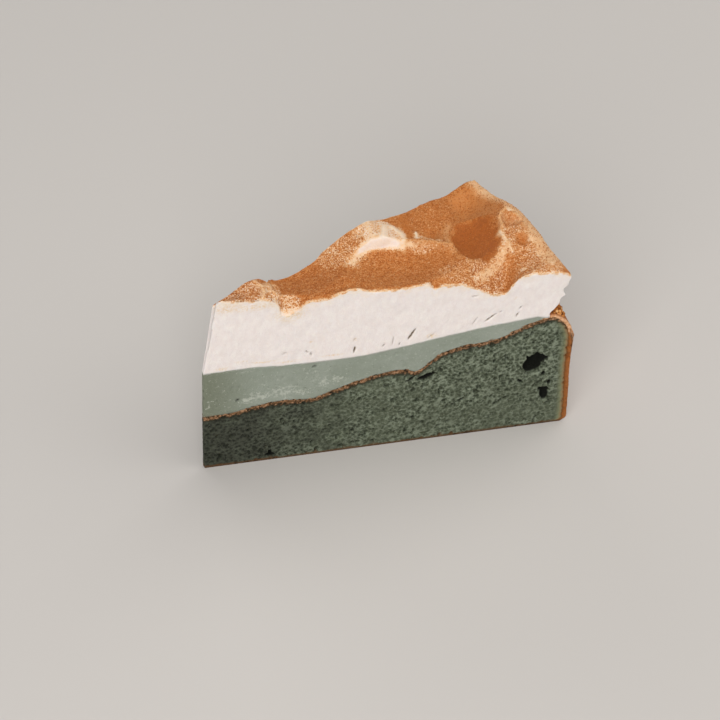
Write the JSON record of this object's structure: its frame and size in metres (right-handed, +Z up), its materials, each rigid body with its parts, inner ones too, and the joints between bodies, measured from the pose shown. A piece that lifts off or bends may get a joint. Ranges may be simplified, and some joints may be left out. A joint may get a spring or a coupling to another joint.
{
  "type": "slice of mugwort cake",
  "caption": "Wedge slice of tall layered cake: green sponge with browned crust, pale green mugwort cream, and thick whipped cream with spatula marks under soybean powder.",
  "frame": {"origin": "centre of the slice's bounding box, on the plane that it stands on", "axes": "+X from the blunt tip to the crust wall, along the middle of the slice; +Z up; the near cut, the one that the picture shows, faces -Y"},
  "size_m": [0.1012, 0.0488, 0.0641],
  "materials": {
    "sponge": "matte open crumb of grey-green mugwort sponge, with a browned crust on the wall, the roof and the underside",
    "mugwort_cream": "smooth satin pale grey-green cream with paler knife smears",
    "whipped_cream": "soft satin warm white whipped cream, dusted on top with golden-brown roasted soybean powder"
  },
  "bodies": {
    "root": {"sponge": "sponge", "mugwort_cream": "mugwort_cream", "whipped_cream": "whipped_cream"}
  },
  "joints": []
}
